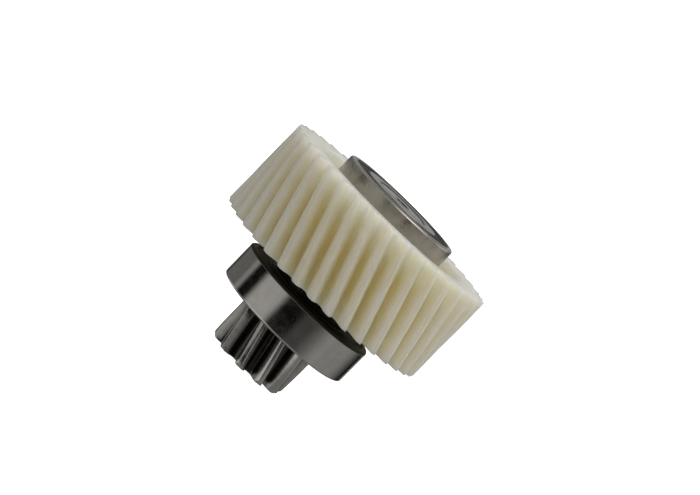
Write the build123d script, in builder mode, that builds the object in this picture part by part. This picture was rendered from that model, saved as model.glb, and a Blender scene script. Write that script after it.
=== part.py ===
from build123d import *
import os
from math import acos, atan, cos, pi, radians, sin, tan

# Reduction gear shaft: a moulded helical wheel keyed to a steel shaft that ends in a
# helical pinion, carried by two sealed ball bearings.
# Millimetres. +Z runs along the shaft from the pinion's free end, at z = 0.

# ---------------------------------------------------------------- stack along the shaft
PINION_LENGTH = 10.8
BEARING_WIDTH = 8.0
LOWER_BEARING_Z = PINION_LENGTH
SPACER_LENGTH = 3.2
WHEEL_Z = LOWER_BEARING_Z + BEARING_WIDTH + SPACER_LENGTH
WHEEL_WIDTH = 20.5
WHEEL_TOP = WHEEL_Z + WHEEL_WIDTH
UPPER_BEARING_PROUD = 2.9
UPPER_BEARING_Z = WHEEL_TOP + UPPER_BEARING_PROUD - BEARING_WIDTH
SHAFT_END_BELOW_FACE = 0.1
SHAFT_LENGTH = UPPER_BEARING_Z + BEARING_WIDTH - SHAFT_END_BELOW_FACE

# ---------------------------------------------------------------- gear teeth, both left-hand
PRESSURE_ANGLE = 20.0
ADDENDUM = 1.0
DEDENDUM = 1.25

WHEEL_TEETH = 37
WHEEL_MODULE = 1.25
WHEEL_HELIX = 18.8
WHEEL_TOOTH_SHARE = 0.54
WHEEL_TIP_FILLET = 0.2
WHEEL_ROOT_FILLET = 0.45
WHEEL_PHASE = -89.5

PINION_TEETH = 10
PINION_MODULE = 1.5
PINION_HELIX = 13.3
PINION_TOOTH_SHARE = 0.5
PINION_ROOT_FILLET = 0.5
PINION_TIP_FILLET = 0.12
PINION_PHASE = -93.7
PINION_END_CHAMFER = 0.7

# ---------------------------------------------------------------- shaft
LOWER_JOURNAL_R = 7.5
UPPER_JOURNAL_R = 6.0
SHAFT_CHAMFER = 0.5
CENTRE_HOLE_R = 0.8
CENTRE_CONE_R = 1.7
CENTRE_HOLE_DEPTH = 4.0
KEY_WIDTH = 5.0
KEY_HEIGHT = 5.0
KEY_LENGTH = 9.0
KEY_SEAT_DEPTH = 3.0
KEY_CHAMFER = 0.25
GROOVE_R = 7.15
GROOVE_WIDTH = 1.1
GROOVE_WALL = 1.2

# ---------------------------------------------------------------- hub and nylon wheel
RING_THICKNESS = 1.0
WASHER_THICKNESS = 0.5
WASHER_OUTER_R = 10.4
HUB_TOP = UPPER_BEARING_Z - GROOVE_WALL - GROOVE_WIDTH - WASHER_THICKNESS
HUB_R = 11.0
HUB_COLLAR_R = 12.6
HUB_COLLAR_HEIGHT = 6.0
HUB_LOBES = 12
HUB_LOBE_CUT_R = 1.3
KEY_MIDDLE_Z = (WHEEL_Z + HUB_TOP) / 2
WEB_TOP = HUB_TOP - 0.6
WEB_THICKNESS = 7.0
RECESS_R = 18.8
BOSS_R = 14.6
RECESS_FILLET = 1.2
RIM_CHAMFER = 0.4

# ---------------------------------------------------------------- bearings
LOWER_BEARING = {
    "z": LOWER_BEARING_Z,
    "bore_r": LOWER_JOURNAL_R,
    "outer_r": 16.0,
    "pitch_r": 11.75,
    "ball_r": 2.381,
    "balls": 9,
    "inner_land_r": 10.2,
    "outer_land_r": 13.3,
    "seal_seat_r": 14.6,
}
UPPER_BEARING = {
    "z": UPPER_BEARING_Z,
    "bore_r": UPPER_JOURNAL_R,
    "outer_r": 14.0,
    "pitch_r": 10.2,
    "ball_r": 1.984,
    "balls": 10,
    "inner_land_r": 9.1,
    "outer_land_r": 11.4,
    "seal_seat_r": 12.6,
}
BALL_CLEARANCE = 0.02
GROOVE_CONFORMITY = 1.04
OUTER_CORNER = 0.5
INNER_CORNER = 0.35
SEAL_SEAT_DEPTH = 0.95
SEAL_RECESS = 0.2
SEAL_LIP_GAP = 0.06
SEAL_BEAD = 0.25
SEAL_DISH = 0.2
CAGE_THICKNESS = 0.4
CAGE_BALL_GAP = 0.06
CAGE_LAND_GAP = 0.25
RIVET_R = 0.4
RIVET_HEAD_R = 0.65
RIVET_HEAD_HEIGHT = 0.25

os.makedirs("parts", exist_ok=True)


def save(part, name):
    """Labels a finished piece and writes it as its own STEP file."""
    part.label = name
    export_step(part, f"parts/{name}.step")


def polar(radius, angle):
    """A point in the sketch plane at a radius and an angle in degrees."""
    return (radius * cos(radians(angle)), radius * sin(radians(angle)))


def involute(angle):
    """The involute function of an angle in radians."""
    return tan(angle) - angle


def gear_radii(teeth, module, helix):
    """Pitch, base, root and tip radius of a helical gear."""
    pitch_r = module * teeth / (2 * cos(radians(helix)))
    transverse = atan(tan(radians(PRESSURE_ANGLE)) / cos(radians(helix)))
    base_r = pitch_r * cos(transverse)
    return pitch_r, base_r, pitch_r - DEDENDUM * module, pitch_r + ADDENDUM * module


def half_tooth_angle(radius, pitch_r, base_r, share, teeth):
    """Half a tooth's angle in degrees at a radius, from the involute."""
    at_pitch = share * pi / teeth
    rolled = involute(acos(base_r / pitch_r)) - involute(acos(base_r / radius))
    return (at_pitch + rolled) * 180 / pi


def gear_outline(teeth, module, helix, share, phase, tip_fillet, root_fillet):
    """The closed section of a gear: involute flanks as arcs, round tips and round roots."""
    pitch_r, base_r, root_r, tip_r = gear_radii(teeth, module, helix)
    flank_foot_r = max(root_r, base_r * 1.002)
    flank_radii = (flank_foot_r, (flank_foot_r + tip_r) / 2, tip_r)
    halves = [half_tooth_angle(r, pitch_r, base_r, share, teeth) for r in flank_radii]
    pitch_angle = 360 / teeth
    with BuildSketch() as section:
        with BuildLine():
            for tooth in range(teeth):
                middle = phase + tooth * pitch_angle
                rising = [polar(r, middle - h) for r, h in zip(flank_radii, halves)]
                falling = [polar(r, middle + h) for r, h in zip(flank_radii, halves)]
                next_foot_angle = middle + pitch_angle - halves[0]
                ThreePointArc(*rising)
                ThreePointArc(rising[-1], polar(tip_r, middle), falling[-1])
                ThreePointArc(*reversed(falling))
                root_start = falling[0]
                root_end = polar(flank_foot_r, next_foot_angle)
                if flank_foot_r > root_r:
                    root_start = polar(root_r, middle + halves[0])
                    root_end = polar(root_r, next_foot_angle)
                    Line(falling[0], root_start)
                    Line(root_end, polar(flank_foot_r, next_foot_angle))
                ThreePointArc(root_start, polar(root_r, middle + pitch_angle / 2), root_end)
        make_face()
        corners = section.vertices()
        outer = [v for v in corners if abs(Vector(v.X, v.Y).length - tip_r) < 1e-3]
        fillet(outer, tip_fillet)
        corners = section.vertices()
        inner = [v for v in corners if abs(Vector(v.X, v.Y).length - root_r) < 1e-3]
        fillet(inner, root_fillet)
    return section.sketch.face()


def helical_prism(outline, pitch_r, helix, z, width):
    """A left-hand helical prism that rises from z through the width."""
    twist = -tan(radians(helix)) * width / pitch_r * 180 / pi
    prism = Solid.extrude_linear_with_rotation(outline, (0, 0, 0), (0, 0, width), twist)
    return prism.moved(Location((0, 0, z)))


def centre_hole(z, direction):
    """The revolved outline of a centre-drilled hole that opens at z, away from direction."""
    cone = CENTRE_CONE_R - CENTRE_HOLE_R
    with BuildSketch(Plane.XZ) as hole:
        with BuildLine():
            Polyline(
                (0, z),
                (CENTRE_CONE_R, z),
                (CENTRE_HOLE_R, z + direction * cone * 1.7),
                (CENTRE_HOLE_R, z + direction * CENTRE_HOLE_DEPTH),
                (0, z + direction * (CENTRE_HOLE_DEPTH + CENTRE_HOLE_R * 0.6)),
                close=True,
            )
        make_face()
    return hole.sketch


def key_outline():
    """The round-ended outline of the key, standing along the shaft."""
    with BuildSketch(Plane.YZ.offset(LOWER_JOURNAL_R - KEY_SEAT_DEPTH)) as outline:
        with Locations((0, KEY_MIDDLE_Z)):
            SlotOverall(KEY_LENGTH, KEY_WIDTH, rotation=90)
    return outline.sketch


def make_pinion_shaft():
    """The steel shaft with its pinion, two journals, key seat and ring groove."""
    pitch_r, _, _, tip_r = gear_radii(PINION_TEETH, PINION_MODULE, PINION_HELIX)
    outline = gear_outline(
        PINION_TEETH, PINION_MODULE, PINION_HELIX, PINION_TOOTH_SHARE,
        PINION_PHASE, PINION_TIP_FILLET, PINION_ROOT_FILLET,
    )
    with BuildPart() as shaft:
        add(helical_prism(outline, pitch_r, PINION_HELIX, 0, PINION_LENGTH))
        with BuildSketch(Plane.XZ):
            with BuildLine():
                Polyline(
                    (tip_r + 1, 0),
                    (tip_r - PINION_END_CHAMFER, 0),
                    (tip_r + 1, PINION_END_CHAMFER + 1),
                    close=True,
                )
            make_face()
        revolve(axis=Axis.Z, mode=Mode.SUBTRACT)
        with BuildSketch(Plane.XY.offset(PINION_LENGTH)):
            Circle(LOWER_JOURNAL_R)
        extrude(amount=UPPER_BEARING_Z - PINION_LENGTH)
        with BuildSketch(Plane.XY.offset(UPPER_BEARING_Z)):
            Circle(UPPER_JOURNAL_R)
        extrude(amount=SHAFT_LENGTH - UPPER_BEARING_Z)
        end_edge = shaft.edges().filter_by(GeomType.CIRCLE).sort_by(Axis.Z)[-1]
        chamfer(end_edge, SHAFT_CHAMFER)
        with BuildSketch(Plane.XY.offset(HUB_TOP + WASHER_THICKNESS)):
            Circle(LOWER_JOURNAL_R + 1)
            Circle(GROOVE_R, mode=Mode.SUBTRACT)
        extrude(amount=GROOVE_WIDTH, mode=Mode.SUBTRACT)
        extrude(key_outline(), amount=KEY_HEIGHT, mode=Mode.SUBTRACT)
        revolve(centre_hole(0, 1), axis=Axis.Z, mode=Mode.SUBTRACT)
        revolve(centre_hole(SHAFT_LENGTH, -1), axis=Axis.Z, mode=Mode.SUBTRACT)
    return shaft.part


def make_drive_key():
    """The parallel key that drives the hub."""
    with BuildPart() as key:
        extrude(key_outline(), amount=KEY_HEIGHT - KEY_CHAMFER)
        extrude(key.faces().sort_by(Axis.X)[-1], amount=KEY_CHAMFER, taper=45)
    return key.part


def make_gear_hub():
    """The steel insert inside the nylon wheel, with a lobed collar that the nylon grips."""
    collar_z = WEB_TOP - WEB_THICKNESS / 2 - HUB_COLLAR_HEIGHT / 2
    keyway_r = LOWER_JOURNAL_R - KEY_SEAT_DEPTH + KEY_HEIGHT + 0.3
    with BuildPart() as hub:
        with BuildSketch(Plane.XY.offset(WHEEL_Z)):
            Circle(HUB_R)
        extrude(amount=HUB_TOP - WHEEL_Z)
        with BuildSketch(Plane.XY.offset(collar_z)):
            Circle(HUB_COLLAR_R)
            with PolarLocations(HUB_COLLAR_R + HUB_LOBE_CUT_R / 3, HUB_LOBES):
                Circle(HUB_LOBE_CUT_R, mode=Mode.SUBTRACT)
        extrude(amount=HUB_COLLAR_HEIGHT)
        with BuildSketch(Plane.XY.offset(WHEEL_Z)):
            Circle(LOWER_JOURNAL_R)
            with Locations((keyway_r / 2, 0)):
                Rectangle(keyway_r, KEY_WIDTH)
        extrude(amount=HUB_TOP - WHEEL_Z, mode=Mode.SUBTRACT)
    return hub.part


def make_nylon_gear(hub):
    """The moulded helical wheel: rim, web and boss around the steel hub."""
    pitch_r, _, _, _ = gear_radii(WHEEL_TEETH, WHEEL_MODULE, WHEEL_HELIX)
    outline = gear_outline(
        WHEEL_TEETH, WHEEL_MODULE, WHEEL_HELIX, WHEEL_TOOTH_SHARE,
        WHEEL_PHASE, WHEEL_TIP_FILLET, WHEEL_ROOT_FILLET,
    )
    web_bottom = WEB_TOP - WEB_THICKNESS
    with BuildPart() as gear:
        add(helical_prism(outline, pitch_r, WHEEL_HELIX, WHEEL_Z, WHEEL_WIDTH))
        with BuildSketch(Plane.XZ) as upper_recess:
            with BuildLine():
                Polyline(
                    (0, WEB_TOP),
                    (RECESS_R, WEB_TOP),
                    (RECESS_R, WHEEL_TOP - RIM_CHAMFER),
                    (RECESS_R + RIM_CHAMFER, WHEEL_TOP),
                    (0, WHEEL_TOP),
                    close=True,
                )
            make_face()
            floor_corner = upper_recess.vertices().group_by(Axis.Y)[0].sort_by(Axis.X)[-1]
            fillet(floor_corner, RECESS_FILLET)
        revolve(axis=Axis.Z, mode=Mode.SUBTRACT)
        with BuildSketch(Plane.XZ) as lower_recess:
            with BuildLine():
                Polyline(
                    (BOSS_R, WHEEL_Z),
                    (BOSS_R, web_bottom),
                    (RECESS_R, web_bottom),
                    (RECESS_R, WHEEL_Z + RIM_CHAMFER),
                    (RECESS_R + RIM_CHAMFER, WHEEL_Z),
                    close=True,
                )
            make_face()
            fillet(lower_recess.vertices().group_by(Axis.Y)[-1], RECESS_FILLET)
        revolve(axis=Axis.Z, mode=Mode.SUBTRACT)
        with BuildSketch(Plane.XY.offset(WHEEL_Z)):
            Circle(HUB_R - 0.5)
        extrude(amount=WEB_TOP - WHEEL_Z, mode=Mode.SUBTRACT)
        add(hub, mode=Mode.SUBTRACT)
    return gear.part


def make_spacer_ring():
    """The sleeve between the lower bearing's inner ring and the hub."""
    with BuildPart() as spacer:
        with BuildSketch(Plane.XY.offset(LOWER_BEARING_Z + BEARING_WIDTH)):
            Circle(LOWER_JOURNAL_R + 2.1)
            Circle(LOWER_JOURNAL_R, mode=Mode.SUBTRACT)
        extrude(amount=SPACER_LENGTH)
        chamfer(spacer.edges().filter_by(GeomType.CIRCLE), 0.2)
    return spacer.part


def make_shim_washer():
    """The shim between the hub and the retaining ring."""
    with BuildPart() as washer:
        with BuildSketch(Plane.XY.offset(HUB_TOP)):
            Circle(WASHER_OUTER_R)
            Circle(LOWER_JOURNAL_R, mode=Mode.SUBTRACT)
        extrude(amount=WASHER_THICKNESS)
    return washer.part


def make_retaining_ring():
    """The external snap ring, with two drilled lugs beside its gap."""
    lug_r = 1.5
    lug_place_r = GROOVE_R + 1.7
    lug_angle = 14.0
    body_r = GROOVE_R + 2.0
    with BuildPart() as ring:
        with BuildSketch(Plane.XY.offset(HUB_TOP + WASHER_THICKNESS)):
            with Locations((-0.3, 0)):
                Circle(body_r)
            with Locations(polar(lug_place_r, lug_angle), polar(lug_place_r, -lug_angle)):
                Circle(lug_r)
            Circle(GROOVE_R, mode=Mode.SUBTRACT)
            with Locations((body_r, 0)):
                Rectangle(2 * body_r, 1.6, mode=Mode.SUBTRACT)
            with Locations(polar(lug_place_r, lug_angle), polar(lug_place_r, -lug_angle)):
                Circle(0.7, mode=Mode.SUBTRACT)
        extrude(amount=RING_THICKNESS)
    return ring.part


def make_bearing_ring(bearing, inner):
    """The inner or the outer ring of a bearing, turned with its ball groove."""
    bottom = bearing["z"]
    middle = bottom + BEARING_WIDTH / 2
    side = -1 if inner else 1
    groove_r = bearing["ball_r"] * GROOVE_CONFORMITY
    groove_bottom_r = bearing["pitch_r"] + side * (bearing["ball_r"] + BALL_CLEARANCE)
    near_r, far_r = bearing["bore_r"], bearing["inner_land_r"]
    if not inner:
        near_r, far_r = bearing["outer_land_r"], bearing["outer_r"]
    with BuildPart() as ring:
        with BuildSketch(Plane.XZ) as section:
            with Locations(((near_r + far_r) / 2, middle)):
                Rectangle(far_r - near_r, BEARING_WIDTH)
            fit_side = section.vertices().group_by(Axis.X)[0 if inner else -1]
            fillet(fit_side, INNER_CORNER if inner else OUTER_CORNER)
            with Locations((groove_bottom_r - side * groove_r, middle)):
                Circle(groove_r, mode=Mode.SUBTRACT)
            if not inner:
                seat_r = bearing["seal_seat_r"]
                seat_half = SEAL_SEAT_DEPTH / 2
                bead_z = BEARING_WIDTH / 2 - SEAL_SEAT_DEPTH + SEAL_BEAD
                with Locations(
                    (seat_r / 2, bottom + seat_half),
                    (seat_r / 2, bottom + BEARING_WIDTH - seat_half),
                ):
                    Rectangle(seat_r, SEAL_SEAT_DEPTH, mode=Mode.SUBTRACT)
                with Locations((seat_r, middle - bead_z), (seat_r, middle + bead_z)):
                    Circle(SEAL_BEAD, mode=Mode.SUBTRACT)
        revolve(axis=Axis.Z)
    return ring.part


def make_seal(bearing, upper):
    """A rubber seal: a bead snapped into the outer ring, a dished web and a lip."""
    side = 1 if upper else -1
    middle = bearing["z"] + BEARING_WIDTH / 2
    inside = BEARING_WIDTH / 2 - SEAL_SEAT_DEPTH
    outside = BEARING_WIDTH / 2 - SEAL_RECESS
    lip_r = bearing["inner_land_r"] + SEAL_LIP_GAP
    seat_r = bearing["seal_seat_r"]
    dish_start = lip_r + 0.25 * (seat_r - lip_r)
    dish_end = lip_r + 0.75 * (seat_r - lip_r)
    with BuildPart() as seal:
        with BuildSketch(Plane.XZ):
            with BuildLine():
                Polyline(
                    (lip_r, middle + side * (inside + 0.15)),
                    (lip_r, middle + side * (outside - 0.1)),
                    (lip_r + 0.15, middle + side * outside),
                    (dish_start, middle + side * outside),
                    (dish_start + 0.15, middle + side * (outside - SEAL_DISH)),
                    (dish_end - 0.15, middle + side * (outside - SEAL_DISH)),
                    (dish_end, middle + side * outside),
                    (seat_r - 0.1, middle + side * outside),
                    (seat_r, middle + side * (outside - 0.1)),
                    (seat_r, middle + side * inside),
                    (lip_r + 0.4, middle + side * inside),
                    close=True,
                )
            make_face()
            with Locations((seat_r, middle + side * (inside + SEAL_BEAD))):
                Circle(SEAL_BEAD)
        revolve(axis=Axis.Z)
    return seal.part


def make_balls(bearing):
    """All the balls of one bearing, as separate solids."""
    middle = Plane.XY.offset(bearing["z"] + BEARING_WIDTH / 2)
    with BuildPart(middle) as balls:
        with PolarLocations(bearing["pitch_r"], bearing["balls"]):
            Sphere(bearing["ball_r"])
    return balls.part


def make_cage_half(bearing, upper):
    """Half of the pressed steel cage: a flat ribbon with a cup over every ball."""
    side = 1 if upper else -1
    middle = bearing["z"] + BEARING_WIDTH / 2
    pocket_r = bearing["ball_r"] + CAGE_BALL_GAP
    band_inner_r = bearing["inner_land_r"] + CAGE_LAND_GAP
    band_outer_r = bearing["outer_land_r"] - CAGE_LAND_GAP
    places = PolarLocations(bearing["pitch_r"], bearing["balls"])
    rivet_turn = 180 / bearing["balls"]
    rivets = PolarLocations(bearing["pitch_r"], bearing["balls"], start_angle=rivet_turn)
    with BuildPart(Plane.XY.offset(middle)) as cage:
        with places:
            Sphere(pocket_r + CAGE_THICKNESS)
        with BuildSketch(Plane.XY.offset(middle)):
            Circle(band_outer_r)
            Circle(band_inner_r, mode=Mode.SUBTRACT)
        extrude(amount=side * BEARING_WIDTH / 2, mode=Mode.INTERSECT)
        with BuildSketch(Plane.XY.offset(middle)):
            Circle(band_outer_r)
            Circle(band_inner_r, mode=Mode.SUBTRACT)
            with rivets:
                Circle(RIVET_R, mode=Mode.SUBTRACT)
        extrude(amount=side * CAGE_THICKNESS)
        with places:
            Sphere(pocket_r, mode=Mode.SUBTRACT)
    return cage.part


def make_cage_rivets(bearing):
    """The rivets that hold the two cage halves together, between the balls."""
    middle = bearing["z"] + BEARING_WIDTH / 2
    rivet_turn = 180 / bearing["balls"]
    places = PolarLocations(bearing["pitch_r"], bearing["balls"], start_angle=rivet_turn)
    with BuildPart() as rivets:
        with BuildSketch(Plane.XY.offset(middle)):
            with places:
                Circle(RIVET_R)
        extrude(amount=CAGE_THICKNESS, both=True)
        for side in (-1, 1):
            with BuildSketch(Plane.XY.offset(middle + side * CAGE_THICKNESS)):
                with places:
                    Circle(RIVET_HEAD_R)
            extrude(amount=side * RIVET_HEAD_HEIGHT)
    return rivets.part


def save_bearing(bearing, name):
    """Makes and writes every piece of one bearing."""
    save(make_bearing_ring(bearing, inner=True), f"{name}_inner_ring")
    save(make_bearing_ring(bearing, inner=False), f"{name}_outer_ring")
    save(make_balls(bearing), f"{name}_balls")
    save(make_cage_half(bearing, upper=True), f"{name}_cage_top")
    save(make_cage_half(bearing, upper=False), f"{name}_cage_bottom")
    save(make_cage_rivets(bearing), f"{name}_cage_rivets")
    save(make_seal(bearing, upper=True), f"{name}_top_seal")
    save(make_seal(bearing, upper=False), f"{name}_bottom_seal")


gear_hub = make_gear_hub()
save(make_pinion_shaft(), "pinion_shaft")
save(make_drive_key(), "drive_key")
save(gear_hub, "gear_hub")
save(make_nylon_gear(gear_hub), "nylon_gear")
save(make_spacer_ring(), "spacer_ring")
save(make_shim_washer(), "shim_washer")
save(make_retaining_ring(), "retaining_ring")
save_bearing(LOWER_BEARING, "lower_bearing")
save_bearing(UPPER_BEARING, "upper_bearing")
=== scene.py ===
from math import acos, atan, atan2, cos, hypot, pi, radians, sin, tan

import bpy
from mathutils import Matrix, Vector


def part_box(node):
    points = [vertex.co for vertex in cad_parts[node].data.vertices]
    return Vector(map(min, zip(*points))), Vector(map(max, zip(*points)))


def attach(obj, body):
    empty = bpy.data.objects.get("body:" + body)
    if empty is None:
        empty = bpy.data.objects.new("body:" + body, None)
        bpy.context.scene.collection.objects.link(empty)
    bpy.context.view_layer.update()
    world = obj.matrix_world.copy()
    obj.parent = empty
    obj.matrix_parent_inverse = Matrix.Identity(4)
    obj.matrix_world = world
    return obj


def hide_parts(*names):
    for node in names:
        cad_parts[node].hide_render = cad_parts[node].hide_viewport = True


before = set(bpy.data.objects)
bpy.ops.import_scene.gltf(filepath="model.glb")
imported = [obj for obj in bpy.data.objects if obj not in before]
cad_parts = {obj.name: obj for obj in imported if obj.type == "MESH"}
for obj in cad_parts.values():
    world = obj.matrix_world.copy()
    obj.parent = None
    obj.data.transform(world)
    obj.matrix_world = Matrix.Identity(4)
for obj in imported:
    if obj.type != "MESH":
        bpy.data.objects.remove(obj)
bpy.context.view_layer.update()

MM = 0.001


# ---------------------------------------------------------------- measures read from the frame
def low(node, axis=2):
    """A CAD node's lowest coordinate, in millimetres."""
    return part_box(node)[0][axis] / MM


def high(node, axis=2):
    """A CAD node's highest coordinate, in millimetres."""
    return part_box(node)[1][axis] / MM


WHEEL_BOTTOM, WHEEL_TOP = low("nylon_gear"), high("nylon_gear")
HUB_TOP = high("gear_hub")
SHAFT_TOP = high("pinion_shaft")
LOWER_BEARING_BOTTOM = low("lower_bearing_outer_ring")
UPPER_BEARING_BOTTOM = low("upper_bearing_outer_ring")
BEARING_WIDTH = high("lower_bearing_outer_ring") - LOWER_BEARING_BOTTOM

# ---------------------------------------------------------------- gears, as the CAD part has them
PRESSURE_ANGLE = 20.0
WHEEL = {
    "teeth": 37, "module": 1.25, "helix": 18.8, "share": 0.54, "phase": -89.5,
    "tip_round": 0.32, "root_round": 0.55,
}
PINION = {
    "teeth": 10, "module": 1.5, "helix": 13.3, "share": 0.5, "phase": -93.7,
    "tip_round": 0.18, "root_round": 0.7,
}
PINION_LENGTH = LOWER_BEARING_BOTTOM
PINION_END_CHAMFER = 0.7
PINION_END_ROUND = 0.08
PINION_LEVELS = 20
FLANK_STEPS = 8
CORNER_STEPS = 5
END_ROUND_STEPS = 3

# The pinion joins its end faces, and the wheel its own, a little inside the tooth roots.
PINION_FACE_INSET = 0.5
WHEEL_FACE_INSET = 0.6

HUB_R = 11.0
HUB_COLLAR_R = 12.6
HUB_COLLAR_HEIGHT = 6.0
HUB_STEP = 0.6
WEB_TOP = HUB_TOP - HUB_STEP
WEB_THICKNESS = 7.0
WEB_LOOP_R = 15.0
RECESS_R = 18.8
RECESS_ROUND = 1.2
BOSS_R = 14.6
BOSS_ROUND = 0.3
RIM_ROUND = 0.4
WHEEL_END_ROUND = 0.18
WHEEL_LEVELS = 24
BORE_LEVELS = 12

JOURNAL_R = 7.5
UPPER_JOURNAL_R = 6.0
CENTRE_HOLE_R = 0.8
CENTRE_CONE_R = 1.7
CENTRE_HOLE_DEPTH = 4.0
CONE_SLOPE = 1.7
SHAFT_END_ROUND = 0.5
AXIS_R = 0.02

# ---------------------------------------------------------------- bearings
LOWER_BEARING = {
    "name": "lower_bearing", "z": LOWER_BEARING_BOTTOM, "bore_r": JOURNAL_R, "outer_r": 16.0,
    "pitch_r": 11.75, "ball_r": 2.381, "inner_land_r": 10.2, "outer_land_r": 13.3, "seat_r": 14.6,
}
UPPER_BEARING = {
    "name": "upper_bearing", "z": UPPER_BEARING_BOTTOM, "bore_r": UPPER_JOURNAL_R, "outer_r": 14.0,
    "pitch_r": 10.2, "ball_r": 1.984, "inner_land_r": 9.1, "outer_land_r": 11.4, "seat_r": 12.6,
}
OUTER_CORNER = 0.5
INNER_CORNER = 0.35
SEAT_DEPTH = 0.95
SEAL_RECESS = 0.2
SEAL_DISH = 0.2
SEAL_LIP_GAP = 0.06
BALL_CLEARANCE = 0.02
GROOVE_CONFORMITY = 1.04
GROOVE_STEPS = 14
SEAL_BEAD = 0.15
SEAL_SHOULDER = 0.05


# ---------------------------------------------------------------- node helpers
class Nodes:
    """A short way to write the node tree of a material or a world."""

    def __init__(self, owner, shader="Principled BSDF"):
        owner.use_nodes = True
        self.owner = owner
        self.tree = owner.node_tree
        self.shader = self.tree.nodes[shader]

    def add(self, kind, **settings):
        node = self.tree.nodes.new(kind)
        for key, value in settings.items():
            setattr(node, key, value)
        return node

    def link(self, source, target):
        self.tree.links.new(source, target)

    def put(self, socket, value):
        """Links a socket, or sets a plain value."""
        if isinstance(value, bpy.types.NodeSocket):
            self.link(value, socket)
        else:
            socket.default_value = value

    def math(self, operation, *values):
        node = self.add("ShaderNodeMath", operation=operation)
        for socket, value in zip(node.inputs, values):
            self.put(socket, value)
        return node.outputs[0]

    def span(self, value, start, end, low=0.0, high=1.0, smooth=True):
        """Maps start..end to low..high, clamped."""
        node = self.add("ShaderNodeMapRange", clamp=True)
        node.interpolation_type = "SMOOTHSTEP" if smooth else "LINEAR"
        self.put(node.inputs["Value"], value)
        self.put(node.inputs["From Min"], start)
        self.put(node.inputs["From Max"], end)
        self.put(node.inputs["To Min"], low)
        self.put(node.inputs["To Max"], high)
        return node.outputs["Result"]

    def mix(self, factor, a, b, blend="MIX"):
        node = self.add("ShaderNodeMix", data_type="RGBA", blend_type=blend)
        self.put(node.inputs["Factor"], factor)
        self.put(node.inputs["A"], colour(a) if isinstance(a, tuple) else a)
        self.put(node.inputs["B"], colour(b) if isinstance(b, tuple) else b)
        return node.outputs["Result"]

    def place(self):
        """The object's own coordinates in millimetres, split up, with the radius."""
        coordinates = self.add("ShaderNodeTexCoord").outputs["Object"]
        scaled = self.add("ShaderNodeVectorMath", operation="SCALE")
        self.link(coordinates, scaled.inputs[0])
        scaled.inputs["Scale"].default_value = 1 / MM
        split = self.add("ShaderNodeSeparateXYZ")
        self.link(scaled.outputs[0], split.inputs[0])
        x, y, z = split.outputs
        squares = self.math("ADD", self.math("MULTIPLY", x, x), self.math("MULTIPLY", y, y))
        return scaled.outputs[0], x, y, z, self.math("SQRT", squares)

    def vector(self, x, y, z):
        node = self.add("ShaderNodeCombineXYZ")
        for socket, value in zip(node.inputs, (x, y, z)):
            self.put(socket, value)
        return node.outputs[0]

    def noise(self, where, scale, detail=4.0, roughness=0.5, distortion=0.0):
        node = self.add("ShaderNodeTexNoise")
        self.link(where, node.inputs["Vector"])
        node.inputs["Scale"].default_value = scale
        node.inputs["Detail"].default_value = detail
        node.inputs["Roughness"].default_value = roughness
        node.inputs["Distortion"].default_value = distortion
        return node.outputs["Fac"]

    def bump(self, height, strength, depth_mm, under=None):
        node = self.add("ShaderNodeBump")
        node.inputs["Strength"].default_value = strength
        node.inputs["Distance"].default_value = depth_mm * MM
        self.link(height, node.inputs["Height"])
        if under is not None:
            self.link(under, node.inputs["Normal"])
        return node.outputs["Normal"]

    def finish(self, **inputs):
        for key, value in inputs.items():
            self.put(self.shader.inputs[key.replace("_", " ")], value)
        return self.owner


def colour(rgb):
    """An opaque colour from three linear values."""
    return (rgb[0], rgb[1], rgb[2], 1.0)


def new_material(name):
    return Nodes(bpy.data.materials.new(name))


# ---------------------------------------------------------------- materials
# Painted shade for the seam between parts and for the centre hole.
SEAM_SHADE_TONE = (0.03, 0.026, 0.022)
# Painted shade for the bands under the wheel.
BAND_SHADE_TONE = (0.035, 0.033, 0.030)

# Radii between which painted shade deepens the wheel's valleys, and painted shade with old oil darkens
# the pinion's teeth.
VALLEY_RIM_R, VALLEY_FLOOR_R = 25.4, 22.9
CLEAN_TOOTH_R, SHADED_OILY_ROOT_R = 8.9, 6.6


def nylon_material():
    """Ivory moulded nylon: translucent body, faint flow marks, and painted shade in the tooth valleys,
    deeper yellow.

    The valleys' painted shade is deepest below the upper face's edge zone. Within that zone the valleys
    carry painted light and are paler.
    """
    n = new_material("moulded_nylon")
    where, _, _, z, r = n.place()
    clouds = n.noise(where, 0.09, detail=3.0)
    flow = n.noise(where, 0.6, detail=5.0, roughness=0.6, distortion=0.8)
    base = n.mix(n.span(clouds, 0.35, 0.65), (0.79, 0.685, 0.46), (0.84, 0.75, 0.54))
    base = n.mix(n.span(flow, 0.45, 0.75, 0.0, 0.25), base, (0.75, 0.645, 0.40))
    # Painted shade: the valleys deepen to yellow below the upper face's edge zone.
    depth = n.span(r, VALLEY_RIM_R, VALLEY_FLOOR_R)
    valley = n.math("MULTIPLY", depth, n.span(flow, 0.2, 0.7, 0.75, 1.0))
    valley_shade = n.math("MULTIPLY", valley, n.span(z, WHEEL_TOP - 2.5, WHEEL_TOP - 8.5, 0.0, 0.5))
    base = n.mix(valley_shade, base, (0.68, 0.56, 0.27))
    # Painted light: the valleys turn paler near their open upper ends.
    valley_top_light = n.math("MULTIPLY", valley, n.span(z, WHEEL_TOP - 7.5, WHEEL_TOP - 2.0, 0.0, 0.8))
    base = n.mix(valley_top_light, base, (0.93, 0.86, 0.66))
    grain = n.noise(where, 9.0, detail=6.0, roughness=0.6)
    waves = n.noise(where, 1.2, detail=2.0)
    normal = n.bump(waves, 0.25, 0.10)
    normal = n.bump(grain, 0.12, 0.03, under=normal)
    return n.finish(
        Base_Color=base,
        Roughness=n.span(grain, 0.3, 0.7, 0.46, 0.60),
        Normal=normal,
        IOR=1.5,
        Subsurface_Weight=1.0,
        Subsurface_Radius=(1.0, 0.9, 0.65),
        Subsurface_Scale=22 * MM,
    )


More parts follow.
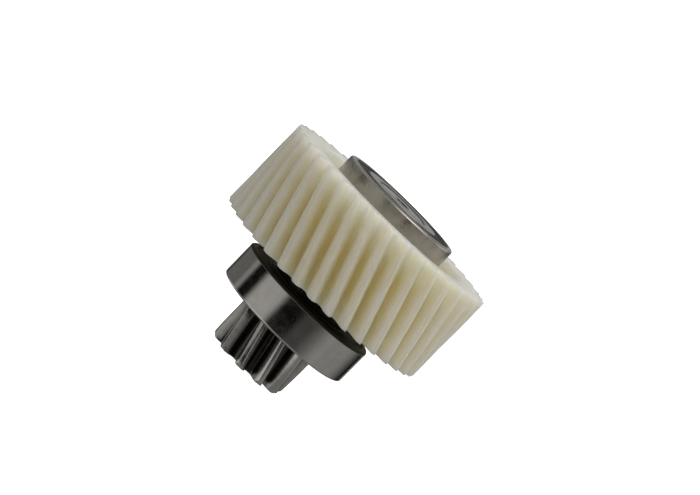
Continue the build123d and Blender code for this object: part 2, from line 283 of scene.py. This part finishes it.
def ground_steel(name, base, warm, roughness, line_depth, face_shade=1.0, seam_r=None, shade_band_z=None):
    """Turned or ground steel: fine lines round the axis, smears, small pits, and painted shade on the
    end faces.

    Painted shade darkens the radius seam_r, where two parts join, and the shaft's centre hole.
    A band of painted shade, with raised roughness, lies at the height shade_band_z.
    """
    n = new_material(name)
    where, _, _, z, r = n.place()
    section = n.vector(n.math("MULTIPLY", r, 6.0), n.math("MULTIPLY", z, 6.0), 0.0)
    rings = n.noise(section, 3.0, detail=6.0, roughness=0.7)
    smear = n.noise(where, 0.35, detail=4.0, roughness=0.6, distortion=0.5)
    fine = n.noise(where, 14.0, detail=3.0)
    pits = n.span(n.noise(where, 4.5, detail=2.0, roughness=0.4), 0.74, 0.80)
    tone = n.mix(n.span(smear, 0.3, 0.7), base, warm)
    tone = n.mix(n.math("MULTIPLY", pits, 0.55), tone, (0.08, 0.07, 0.06))
    # Painted shade: faces across the axis are darkened by face_shade.
    facing = n.add("ShaderNodeSeparateXYZ")
    n.link(n.add("ShaderNodeTexCoord").outputs["Normal"], facing.inputs[0])
    end_face = n.span(n.math("ABSOLUTE", facing.outputs["Z"]), 0.3, 0.8)
    shaded = n.mix(1.0, tone, (face_shade, face_shade, face_shade), blend="MULTIPLY")
    tone = n.mix(end_face, tone, shaded)
    # Painted shade: darkened in the seam where two parts join and in the centre hole.
    if seam_r:
        seam = n.span(n.math("ABSOLUTE", n.math("SUBTRACT", r, seam_r)), 0.3, 0.6, 0.95, 0.0)
        hole = n.span(r, CENTRE_CONE_R + 0.1, CENTRE_CONE_R + 0.4, 0.95, 0.0)
        tone = n.mix(n.math("MAXIMUM", seam, hole), tone, SEAM_SHADE_TONE)
    rough = n.span(smear, 0.3, 0.75, roughness * 0.82, roughness * 1.25)
    rough = n.math("ADD", rough, n.span(rings, 0.3, 0.7, -0.03, 0.05))
    # Painted shade: a dark band, rougher too, at the height shade_band_z under the wheel.
    if shade_band_z:
        shade_band = n.span(n.math("ABSOLUTE", n.math("SUBTRACT", z, shade_band_z)), 0.35, 0.6, 0.95, 0.0)
        tone = n.mix(shade_band, tone, BAND_SHADE_TONE)
        rough = n.math("MULTIPLY_ADD", shade_band, 0.5, rough)
    normal = n.bump(rings, 0.35, line_depth)
    normal = n.bump(fine, 0.02, 0.01, under=normal)
    normal = n.bump(n.math("SUBTRACT", 1.0, pits), 0.2, 0.015, under=normal)
    round_axis = n.add("ShaderNodeTangent", direction_type="RADIAL", axis="Z").outputs[0]
    return n.finish(
        Base_Color=tone,
        Metallic=1.0,
        Roughness=rough,
        Normal=normal,
        Anisotropic=0.7,
        Anisotropic_Rotation=0.25,
        Tangent=round_axis,
    )


def tooth_steel():
    """Hardened pinion steel: streaks along the teeth, and painted shade with old oil, darker towards the
    roots.
    """
    n = new_material("pinion_steel")
    where, _, _, z, r = n.place()
    along_teeth = n.vector(n.math("MULTIPLY", r, 7.0), n.math("MULTIPLY", z, 0.35), 0.0)
    streaks = n.noise(along_teeth, 2.0, detail=5.0, roughness=0.6)
    smear = n.noise(where, 0.7, detail=4.0, roughness=0.6, distortion=0.6)
    fine = n.noise(where, 16.0, detail=3.0)
    tone = n.mix(n.span(smear, 0.3, 0.7), (0.48, 0.46, 0.43), (0.58, 0.555, 0.52))
    # Painted shade with old oil: the teeth darken towards the roots.
    root = n.span(r, CLEAN_TOOTH_R, SHADED_OILY_ROOT_R, 0.0, 0.92)
    tone = n.mix(root, tone, (0.07, 0.062, 0.052))
    rough = n.span(streaks, 0.3, 0.7, 0.20, 0.30)
    normal = n.bump(streaks, 0.12, 0.02)
    normal = n.bump(fine, 0.05, 0.01, under=normal)
    return n.finish(Base_Color=tone, Metallic=1.0, Roughness=rough, Normal=normal)


def plain_metal(name, dark, light, roughness, scale):
    """Smaller steel parts: cloudy tone and a fine even grain."""
    n = new_material(name)
    where, _, _, _, _ = n.place()
    clouds = n.noise(where, scale, detail=4.0, roughness=0.6)
    grain = n.noise(where, scale * 16, detail=4.0)
    tone = n.mix(n.span(clouds, 0.3, 0.7), dark, light)
    rough = n.span(grain, 0.3, 0.7, roughness * 0.8, roughness * 1.2)
    return n.finish(Base_Color=tone, Metallic=1.0, Roughness=rough, Normal=n.bump(grain, 0.2, 0.02))


def rubber_material():
    """Black nitrile rubber: matt, faintly mottled, with fine moulding lines round the axis."""
    n = new_material("seal_rubber")
    where, _, _, _, r = n.place()
    dust = n.noise(where, 1.6, detail=6.0, roughness=0.65)
    grain = n.noise(where, 22.0, detail=3.0)
    rings = n.noise(n.vector(n.math("MULTIPLY", r, 5.0), 0.0, 0.0), 2.0, detail=3.0)
    tone = n.mix(n.span(dust, 0.35, 0.75), (0.010, 0.009, 0.008), (0.022, 0.020, 0.017))
    normal = n.bump(rings, 0.25, 0.03)
    normal = n.bump(grain, 0.25, 0.015, under=normal)
    rough = n.span(dust, 0.3, 0.7, 0.55, 0.72)
    return n.finish(Base_Color=tone, Roughness=rough, Normal=normal, Specular_IOR_Level=0.3)


# ---------------------------------------------------------------- mesh helpers
def new_piece(name, points, faces, material, body, node=None, sharp=32.0):
    """A smooth-shaded mesh piece that rides on a body and may replace a CAD node. Points are in mm."""
    mesh = bpy.data.meshes.new(name)
    mesh.from_pydata([(x * MM, y * MM, z * MM) for x, y, z in points], [], faces)
    mesh.validate()
    mesh.shade_smooth()
    mesh.set_sharp_from_angle(angle=radians(sharp))
    piece = bpy.data.objects.new(name, mesh)
    bpy.context.scene.collection.objects.link(piece)
    mesh.materials.append(material)
    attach(piece, body)
    if node:
        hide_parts(node)
    return piece


def arc(centre_r, centre_z, radius, start, end, steps):
    """Points of an arc in the radius-height plane, angles in degrees."""
    turns = [radians(start + (end - start) * i / steps) for i in range(steps + 1)]
    return [(centre_r + radius * cos(t), centre_z + radius * sin(t)) for t in turns]


def lathe(section, segments=256):
    """Points and faces of a closed radius-height outline, run anticlockwise and turned about Z."""
    points = []
    for i in range(segments):
        turn = 2 * pi * i / segments
        points += [(r * cos(turn), r * sin(turn), z) for r, z in section]
    count = len(section)
    faces = []
    for i in range(segments):
        here, there = i * count, (i + 1) % segments * count
        for k in range(count):
            after = (k + 1) % count
            faces.append((here + k, there + k, there + after, here + after))
    return points, faces


def involute(angle):
    return tan(angle) - angle


def gear_radii(gear):
    """Pitch, base, root and tip radius in millimetres."""
    pitch_r = gear["module"] * gear["teeth"] / (2 * cos(radians(gear["helix"])))
    transverse = atan(tan(radians(PRESSURE_ANGLE)) / cos(radians(gear["helix"])))
    return pitch_r, pitch_r * cos(transverse), pitch_r - 1.25 * gear["module"], pitch_r + gear["module"]


def half_tooth(gear, radius):
    """Half a tooth's angle at a radius, in radians, from the involute."""
    pitch_r, base_r, _, _ = gear_radii(gear)
    at_pitch = involute(acos(base_r / pitch_r))
    at_radius = involute(acos(base_r / max(radius, base_r)))
    return gear["share"] * pi / gear["teeth"] + at_pitch - at_radius


def bend(a, b, c, steps):
    """Points inside a quadratic curve from a to c that heads for b."""
    out = []
    for i in range(1, steps):
        t = i / steps
        weights = ((1 - t) ** 2, 2 * t * (1 - t), t * t)
        out.append(tuple(weights[0] * p + weights[1] * q + weights[2] * s for p, q, s in zip(a, b, c)))
    return out


def half_profile(gear):
    """One side of a tooth as (angle from its middle, radius), from the gap's middle to the tip's."""
    _, _, root_r, tip_r = gear_radii(gear)
    half_pitch = pi / gear["teeth"]
    foot_r, shoulder_r = root_r + gear["root_round"], tip_r - gear["tip_round"]
    foot = (half_tooth(gear, foot_r), foot_r)
    shoulder = (half_tooth(gear, shoulder_r), shoulder_r)
    root_corner = (half_tooth(gear, root_r), root_r)
    root_end = (min(root_corner[0] + gear["root_round"] / root_r, half_pitch * 0.97), root_r)
    tip_corner = (half_tooth(gear, tip_r), tip_r)
    tip_end = (tip_corner[0] - min(gear["tip_round"] / tip_r, tip_corner[0] * 0.6), tip_r)
    out = [(half_pitch, root_r), root_end]
    out += bend(root_end, root_corner, foot, CORNER_STEPS)
    for i in range(FLANK_STEPS + 1):
        r = foot_r + (shoulder_r - foot_r) * i / FLANK_STEPS
        out.append((half_tooth(gear, r), r))
    out += bend(shoulder, tip_corner, tip_end, CORNER_STEPS)
    out += [tip_end, (0.0, tip_r)]
    return out


def gear_profile(gear):
    """The whole outline as a list of (x, y, inward normal) at the gear's lower face, anticlockwise."""
    half = half_profile(gear)
    left = [(-a, r) for a, r in half]
    tooth = left + [(a, r) for a, r in reversed(half[1:-1])]
    outline = []
    for i in range(gear["teeth"]):
        middle = radians(gear["phase"]) + 2 * pi * i / gear["teeth"]
        outline += [(r * cos(middle + a), r * sin(middle + a)) for a, r in tooth]
    count = len(outline)
    out = []
    for i, (x, y) in enumerate(outline):
        before, after = outline[i - 1], outline[(i + 1) % count]
        dx, dy = after[0] - before[0], after[1] - before[1]
        size = hypot(dx, dy)
        out.append((x, y, -dy / size, dx / size))
    return out


def gear_rings(gear, bottom, top, end_round, levels):
    """Rings of points up a helical gear, from its lower end to its upper one, with rounded edges."""
    pitch_r, _, _, _ = gear_radii(gear)
    lean = -tan(radians(gear["helix"])) / pitch_r
    profile = gear_profile(gear)
    heights = []
    for i in range(END_ROUND_STEPS):
        t = radians(90 * i / END_ROUND_STEPS)
        heights.append((bottom + end_round * (1 - cos(t)), end_round * (1 - sin(t))))
    for i in range(levels + 1):
        heights.append((bottom + end_round + (top - bottom - 2 * end_round) * i / levels, 0.0))
    for i in reversed(range(END_ROUND_STEPS)):
        t = radians(90 * i / END_ROUND_STEPS)
        heights.append((top - end_round * (1 - cos(t)), end_round * (1 - sin(t))))
    rings = []
    for z, inset in heights:
        turn = lean * (z - bottom)
        c, s = cos(turn), sin(turn)
        ring = []
        for x, y, nx, ny in profile:
            px, py = x + nx * inset, y + ny * inset
            ring.append((px * c - py * s, px * s + py * c, z))
        rings.append(ring)
    return rings


def disc_rings(around, section):
    """Rings at given radii and heights that keep the angles of an existing ring."""
    angles = [atan2(y, x) for x, y, _ in around]
    return [[(r * cos(a), r * sin(a), z) for a in angles] for r, z in section]


def skin(rings, closed=False):
    """Joins rings of equal length into one mesh. The last ring may join the first."""
    count = len(rings[0])
    points = [p for ring in rings for p in ring]
    faces = []
    for k in range(len(rings) if closed else len(rings) - 1):
        here, there = k * count, (k + 1) % len(rings) * count
        for i in range(count):
            after = (i + 1) % count
            faces.append((here + i, here + after, there + after, there + i))
    return points, faces


def centre_hole(face, inward):
    """The radius-height outline of a centre hole, from its rim on an end face to the axis."""
    cone_depth = (CENTRE_CONE_R - CENTRE_HOLE_R) * CONE_SLOPE
    return [
        (CENTRE_CONE_R + 0.05, face),
        (CENTRE_CONE_R - 0.03, face + inward * 0.06),
        (CENTRE_HOLE_R, face + inward * cone_depth),
        (CENTRE_HOLE_R, face + inward * CENTRE_HOLE_DEPTH),
        (AXIS_R, face + inward * (CENTRE_HOLE_DEPTH + CENTRE_HOLE_R * 0.6)),
    ]


# ---------------------------------------------------------------- pieces
def make_wheel(material):
    """The moulded wheel: helical teeth, rim, recesses and the bore that grips the hub."""
    _, _, root_r, _ = gear_radii(WHEEL)
    side = gear_rings(WHEEL, WHEEL_BOTTOM, WHEEL_TOP, WHEEL_END_ROUND, WHEEL_LEVELS)
    inside_r = root_r - WHEEL_FACE_INSET
    top_section = [(inside_r, WHEEL_TOP)]
    top_section += arc(RECESS_R + RIM_ROUND, WHEEL_TOP - RIM_ROUND, RIM_ROUND, 90, 180, 5)
    wall_bottom = WEB_TOP + RECESS_ROUND
    wall_top = WHEEL_TOP - RIM_ROUND
    # The wall's steps and the loop on the web keep the shading of the round corners short.
    wall_steps = 6
    for i in range(1, wall_steps):
        top_section.append((RECESS_R, wall_top + (wall_bottom - wall_top) * i / wall_steps))
    top_section += arc(RECESS_R - RECESS_ROUND, wall_bottom, RECESS_ROUND, 0, -90, 6)
    top_section += [(WEB_LOOP_R, WEB_TOP), (HUB_R, WEB_TOP)]
    collar_top = WEB_TOP - WEB_THICKNESS / 2 + HUB_COLLAR_HEIGHT / 2
    collar_bottom = collar_top - HUB_COLLAR_HEIGHT
    top_section += [(HUB_R, collar_top), (HUB_COLLAR_R, collar_top)]
    web_bottom = WEB_TOP - WEB_THICKNESS
    bottom_section = [(inside_r, WHEEL_BOTTOM)]
    bottom_section += arc(RECESS_R + RIM_ROUND, WHEEL_BOTTOM + RIM_ROUND, RIM_ROUND, 270, 180, 5)
    bottom_section += arc(RECESS_R - RECESS_ROUND, web_bottom - RECESS_ROUND, RECESS_ROUND, 0, 90, 6)
    bottom_section += arc(BOSS_R + RECESS_ROUND, web_bottom - RECESS_ROUND, RECESS_ROUND, 90, 180, 6)
    bottom_section += arc(BOSS_R - BOSS_ROUND, WHEEL_BOTTOM + BOSS_ROUND, BOSS_ROUND, 0, -90, 3)
    bottom_section += [(HUB_R, WHEEL_BOTTOM), (HUB_R, collar_bottom), (HUB_COLLAR_R, collar_bottom)]
    lower = disc_rings(side[0], bottom_section)
    upper = disc_rings(side[-1], top_section)
    start = [atan2(y, x) for x, y, _ in upper[-1]]
    end = [atan2(y, x) for x, y, _ in lower[-1]]
    bore = []
    for k in range(1, BORE_LEVELS):
        t = k / BORE_LEVELS
        ring = []
        for a, b in zip(start, end):
            gap = (b - a + pi) % (2 * pi) - pi
            angle = a + gap * t
            z = collar_top + (collar_bottom - collar_top) * t
            ring.append((HUB_COLLAR_R * cos(angle), HUB_COLLAR_R * sin(angle), z))
        bore.append(ring)
    rings = side + upper + bore + list(reversed(lower))
    points, faces = skin(rings, closed=True)
    new_piece("nylon_wheel", points, faces, material, "shaft", "nylon_gear")


def make_pinion(material):
    """The pinion's teeth, chamfered at the lower end, with a centre-drilled end face."""
    _, _, root_r, tip_r = gear_radii(PINION)
    side = gear_rings(PINION, 0.0, PINION_LENGTH, PINION_END_ROUND, PINION_LEVELS)
    chamfer_r = tip_r - PINION_END_CHAMFER
    shaped = []
    for ring in side:
        out = []
        for x, y, z in ring:
            k = min(1.0, (chamfer_r + z) / hypot(x, y))
            out.append((x * k, y * k, z))
        shaped.append(out)
    face_r = root_r - PINION_FACE_INSET
    end_section = [(face_r, 0.0)] + centre_hole(0.0, 1)
    top_section = [(face_r, PINION_LENGTH), (AXIS_R, PINION_LENGTH)]
    lower = disc_rings(side[0], end_section)
    upper = disc_rings(side[-1], top_section)
    rings = list(reversed(lower)) + shaped + upper
    points, faces = skin(rings)
    new_piece("pinion_teeth", points, faces, material, "shaft", "pinion_shaft")


def make_shaft_core(material):
    """The journals and the upper shaft end with its chamfer and centre hole."""
    section = [(AXIS_R, PINION_LENGTH), (JOURNAL_R, PINION_LENGTH)]
    section += [(JOURNAL_R, UPPER_BEARING_BOTTOM), (UPPER_JOURNAL_R, UPPER_BEARING_BOTTOM)]
    edge = SHAFT_END_ROUND
    section += arc(UPPER_JOURNAL_R - edge, SHAFT_TOP - edge, edge, 0, 90, 4)
    section += centre_hole(SHAFT_TOP, -1)
    points, faces = lathe(section)
    new_piece("shaft_core", points, faces, material, "shaft")


def make_outer_ring(bearing, material):
    """The turned outer ring: round corners, seal seats and the ball groove."""
    z, outer = bearing["z"], bearing["outer_r"]
    seat, land = bearing["seat_r"], bearing["outer_land_r"]
    top, middle = z + BEARING_WIDTH, z + BEARING_WIDTH / 2
    edge = 0.08
    section = [(seat + edge, z)]
    section += arc(outer - OUTER_CORNER, z + OUTER_CORNER, OUTER_CORNER, -90, 0, 8)
    section += arc(outer - OUTER_CORNER, top - OUTER_CORNER, OUTER_CORNER, 0, 90, 8)
    section += [(seat + edge, top), (seat, top - edge)]
    section += [(seat, top - SEAT_DEPTH), (land, top - SEAT_DEPTH)]
    groove_r = bearing["ball_r"] * GROOVE_CONFORMITY
    groove_centre = bearing["pitch_r"] + bearing["ball_r"] + BALL_CLEARANCE - groove_r
    reach = acos((land - groove_centre) / groove_r) * 180 / pi
    section += arc(groove_centre, middle, groove_r, reach, -reach, GROOVE_STEPS)
    section += [(land, z + SEAT_DEPTH), (seat, z + SEAT_DEPTH), (seat, z + edge)]
    points, faces = lathe(section)
    body = bearing["name"] + "_outer"
    name = body + "_ring"
    new_piece(name + "_turned", points, faces, material, body, name)


def make_inner_ring(bearing, material):
    """The turned inner ring with its ball groove."""
    z, bore, land = bearing["z"], bearing["bore_r"], bearing["inner_land_r"]
    top, middle = z + BEARING_WIDTH, z + BEARING_WIDTH / 2
    edge = 0.12
    groove_r = bearing["ball_r"] * GROOVE_CONFORMITY
    groove_centre = bearing["pitch_r"] - bearing["ball_r"] - BALL_CLEARANCE + groove_r
    reach = acos((groove_centre - land) / groove_r) * 180 / pi
    section = arc(bore + INNER_CORNER, z + INNER_CORNER, INNER_CORNER, 180, 270, 6)
    section += [(land - edge, z), (land, z + edge)]
    section += arc(groove_centre, middle, groove_r, 180 + reach, 180 - reach, GROOVE_STEPS)
    section += [(land, top - edge), (land - edge, top)]
    section += arc(bore + INNER_CORNER, top - INNER_CORNER, INNER_CORNER, 90, 180, 6)
    points, faces = lathe(section)
    name = bearing["name"] + "_inner_ring"
    new_piece(name + "_turned", points, faces, material, "shaft", name)


def make_seal(bearing, upper, material):
    """A dished rubber seal with rounded ridges at its rim and lip."""
    lip = bearing["inner_land_r"] + SEAL_LIP_GAP
    seat = bearing["seat_r"]
    width = seat - lip
    inside, outside = BEARING_WIDTH / 2 - SEAT_DEPTH, BEARING_WIDTH / 2 - SEAL_RECESS
    dish = outside - SEAL_DISH
    section = [(lip, inside + SEAL_BEAD), (lip, outside - SEAL_BEAD)]
    section += arc(lip + SEAL_BEAD, outside - SEAL_BEAD, SEAL_BEAD, 180, 90, 4)
    section += [(lip + 0.22 * width, outside), (lip + 0.26 * width, outside - SEAL_SHOULDER)]
    section += [(lip + 0.30 * width, dish), (lip + 0.70 * width, dish)]
    section += [(lip + 0.74 * width, outside - SEAL_SHOULDER), (lip + 0.78 * width, outside)]
    section += arc(seat - SEAL_BEAD, outside - SEAL_BEAD, SEAL_BEAD, 90, 0, 4)
    section += [(seat, inside), (lip + 0.4, inside)]
    middle = bearing["z"] + BEARING_WIDTH / 2
    if upper:
        section = [(r, middle + z) for r, z in reversed(section)]
    else:
        section = [(r, middle - z) for r, z in section]
    points, faces = lathe(section)
    name = bearing["name"] + ("_top_seal" if upper else "_bottom_seal")
    body = bearing["name"] + "_outer"
    new_piece(name + "_moulded", points, faces, material, body, name)


def dress(nodes, material):
    """Gives CAD nodes a material."""
    for name in nodes:
        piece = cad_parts[name]
        piece.data.materials.clear()
        piece.data.materials.append(material)


# ---------------------------------------------------------------- floor, lights, camera
CAMERA_WHITE = 1.15
FLOOR_SIZE = 6.0
FLOOR_GAP = 0.0002


def make_floor():
    """A plain pale floor that stays even in tone and throws no light back."""
    mesh = bpy.data.meshes.new("floor")
    half = FLOOR_SIZE / 2
    corners = [(-half, -half, 0), (half, -half, 0), (half, half, 0), (-half, half, 0)]
    mesh.from_pydata(corners, [], [(0, 1, 2, 3)])
    floor = bpy.data.objects.new("floor", mesh)
    floor.location.z = -FLOOR_GAP
    bpy.context.scene.collection.objects.link(floor)
    n = new_material("pale_floor")
    where, _, _, _, _ = n.place()
    tone = n.mix(n.noise(where, 0.02), (0.80, 0.80, 0.80), (0.84, 0.84, 0.84))
    mesh.materials.append(n.finish(
        Base_Color=tone, Roughness=0.9, Emission_Color=(1, 1, 1, 1), Emission_Strength=CAMERA_WHITE,
    ))
    floor.visible_glossy = False
    floor.visible_diffuse = False


# Soft boxes and dark gaps, in degrees: azimuth, elevation, width, height, the widths of their soft
# edges, and brightness. Azimuth 0 is the camera's side (-Y) and grows towards +X. The camera itself
# stands in a gap between boxes.
STUDIO = {
    "room above": (0, 54, 720, 84, (1, 6), 0.53),
    "room below": (0, -56, 720, 70, (1, 6), 0.24),
    "key": (42, 54, 76, 32, (36, 12), 3.1),
    "dark door": (36, 27, 50, 24, (14, 8), -0.36),
    "low fill": (-46, -36, 56, 26, (24, 10), 0.60),
    "front glow": (42, -6, 60, 32, (12, 4), 0.06),
    "high side": (122, 15, 50, 18, (16, 6), 0.75),
    "low left": (-128, -31, 36, 16, (10, 6), 0.60),
    "left window": (-47, -6, 46, 32, (14, 4), 0.43),
    "right window": (90, -6, 76, 32, (46, 4), 0.29),
    "left wall": (-122, -6, 58, 32, (8, 4), 0.15),
    "left strip": (-100, -6, 10, 32, (4, 4), 0.14),
    "backdrop": (178, -6, 38, 32, (16, 4), 0.48),
}


def make_studio():
    """Soft boxes and walls far away, which the camera sees as plain white."""
    world = bpy.data.worlds.new("studio")
    bpy.context.scene.world = world
    n = Nodes(world, "Background")
    split = n.add("ShaderNodeSeparateXYZ")
    n.link(n.add("ShaderNodeTexCoord").outputs["Generated"], split.inputs[0])
    x, y, z = split.outputs
    azimuth = n.math("DEGREES", n.math("ARCTAN2", x, n.math("MULTIPLY", y, -1.0)))
    elevation = n.math("DEGREES", n.math("ARCSINE", z))
    light = 0.0
    for box_azimuth, box_elevation, width, height, edges, level in STUDIO.values():
        across = n.math("WRAP", n.math("SUBTRACT", azimuth, box_azimuth), 180.0, -180.0)
        along = n.math("SUBTRACT", elevation, box_elevation)
        inside = 1.0
        for offset, size, edge in zip((across, along), (width, height), edges):
            side = n.span(n.math("ABSOLUTE", offset), (size - edge) / 2, (size + edge) / 2, 1.0, 0.0)
            inside = n.math("MULTIPLY", side, inside)
        light = n.math("MULTIPLY_ADD", inside, level, light)
    seen = n.add("ShaderNodeLightPath").outputs["Is Camera Ray"]
    n.finish(Color=(1, 1, 1, 1), Strength=n.span(seen, 0.0, 1.0, light, CAMERA_WHITE, smooth=False))


CAMERA_PLACE = (0, -0.4810, 0.0841)
FOCAL_LENGTH = 124.32


def make_camera():
    """The camera stands at the -Y side, a little above the wheel, and is rolled by nearly 45 degrees."""
    yaw, pitch, roll = -0.00278, -0.10864, 0.77502
    ahead = Vector((sin(yaw) * cos(pitch), cos(yaw) * cos(pitch), sin(pitch)))
    level = ahead.cross(Vector((0, 0, 1))).normalized()
    upright = level.cross(ahead)
    right = level * cos(roll) + upright * sin(roll)
    up = upright * cos(roll) - level * sin(roll)
    data = bpy.data.cameras.new("camera")
    data.sensor_width = 36.0
    data.lens = FOCAL_LENGTH
    camera = bpy.data.objects.new("camera", data)
    turn = Matrix((right, up, -ahead)).transposed().to_4x4()
    camera.matrix_world = Matrix.Translation(CAMERA_PLACE) @ turn
    bpy.context.scene.collection.objects.link(camera)
    bpy.context.scene.camera = camera


def main():
    nylon = nylon_material()
    ring_steel = {
        # Painted shade on the end faces, and a band of it on the lower bearing's top face.
        "lower_bearing": ground_steel(
            "bearing_steel", (0.56, 0.535, 0.49), (0.61, 0.585, 0.54), 0.15, 0.003,
            face_shade=0.7, shade_band_z=LOWER_BEARING_BOTTOM + BEARING_WIDTH,
        ),
        # A darker copy of the lower bearing's steel: painted shade.
        "upper_bearing": ground_steel(
            "bearing_steel_shaded", (0.40, 0.376, 0.33), (0.46, 0.43, 0.378), 0.30, 0.003,
            face_shade=0.62, seam_r=UPPER_JOURNAL_R,
        ),
    }
    # Painted shade on the end face, in the seam and in the centre hole.
    shaft_steel = ground_steel(
        "shaft_steel", (0.50, 0.48, 0.46), (0.58, 0.56, 0.53), 0.24, 0.005,
        face_shade=0.55, seam_r=UPPER_JOURNAL_R,
    )
    # A band of painted shade where the hub meets the wheel's lower face.
    hub_steel = ground_steel(
        "hub_steel", (0.44, 0.43, 0.41), (0.52, 0.51, 0.49), 0.34, 0.02, shade_band_z=WHEEL_BOTTOM,
    )
    black_steel = plain_metal("black_steel", (0.020, 0.019, 0.018), (0.045, 0.042, 0.038), 0.38, 0.8)
    rubber = rubber_material()
    make_wheel(nylon)
    make_pinion(tooth_steel())
    make_shaft_core(shaft_steel)
    for bearing in (LOWER_BEARING, UPPER_BEARING):
        name = bearing["name"]
        make_outer_ring(bearing, ring_steel[name])
        make_inner_ring(bearing, ring_steel[name])
        make_seal(bearing, True, rubber)
        make_seal(bearing, False, rubber)
        ball_steel = plain_metal("ball_steel_" + name, (0.66, 0.66, 0.67), (0.74, 0.74, 0.75), 0.08, 0.8)
        dress([name + "_balls"], ball_steel)
        cage_steel = plain_metal("cage_steel_" + name, (0.50, 0.49, 0.46), (0.60, 0.59, 0.56), 0.3, 0.8)
        dress([name + end for end in ("_cage_top", "_cage_bottom", "_cage_rivets")], cage_steel)
    dress(["gear_hub", "shim_washer", "drive_key"], hub_steel)
    dress(["spacer_ring", "retaining_ring"], black_steel)
    make_floor()
    make_studio()
    make_camera()
    bpy.context.scene.view_settings.view_transform = "Standard"


main()
